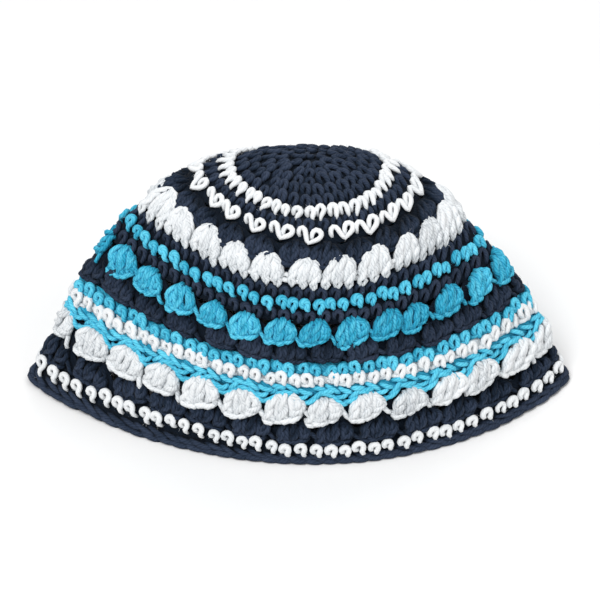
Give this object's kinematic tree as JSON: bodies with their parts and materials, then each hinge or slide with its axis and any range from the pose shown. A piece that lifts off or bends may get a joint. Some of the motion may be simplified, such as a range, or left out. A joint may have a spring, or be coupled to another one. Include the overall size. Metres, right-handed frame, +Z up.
{
  "type": "crocheted skullcap",
  "caption": "Close-fitting dome cap crocheted in thick navy, white and blue yarn, in rounds of dots and shells from a plain crown to a dotted rim.",
  "frame": {"origin": "Centre of the bounding box in X and Y, at the level of the rim that the cap stands on.", "axes": "+X to the right along the wide side of the pressed cap, +Z up from the rim to the crown, and the front that the picture shows faces -Y."},
  "size_m": [0.2432, 0.1344, 0.0987],
  "materials": {
    "navy_yarn": "matte cotton yarn, dark navy",
    "white_yarn": "matte cotton yarn, white",
    "blue_yarn": "matte cotton yarn, bright sky blue"
  },
  "bodies": {
    "root": {"crown_disc": "navy_yarn", "first_white_round": "white_yarn", "crown_navy_round": "navy_yarn", "second_white_round": "white_yarn", "upper_navy_shells": "navy_yarn", "upper_white_shells": "white_yarn", "navy_round_above_dots": "navy_yarn", "blue_dotted_round": "blue_yarn", "navy_round_below_dots": "navy_yarn", "blue_shells": "blue_yarn", "middle_navy_shells": "navy_yarn", "upper_blue_round": "blue_yarn", "white_round": "white_yarn", "lower_blue_round": "blue_yarn", "lower_white_shells": "white_yarn", "lower_navy_shells": "navy_yarn", "white_dotted_round": "white_yarn", "rim_edging": "navy_yarn"}
  },
  "joints": []
}
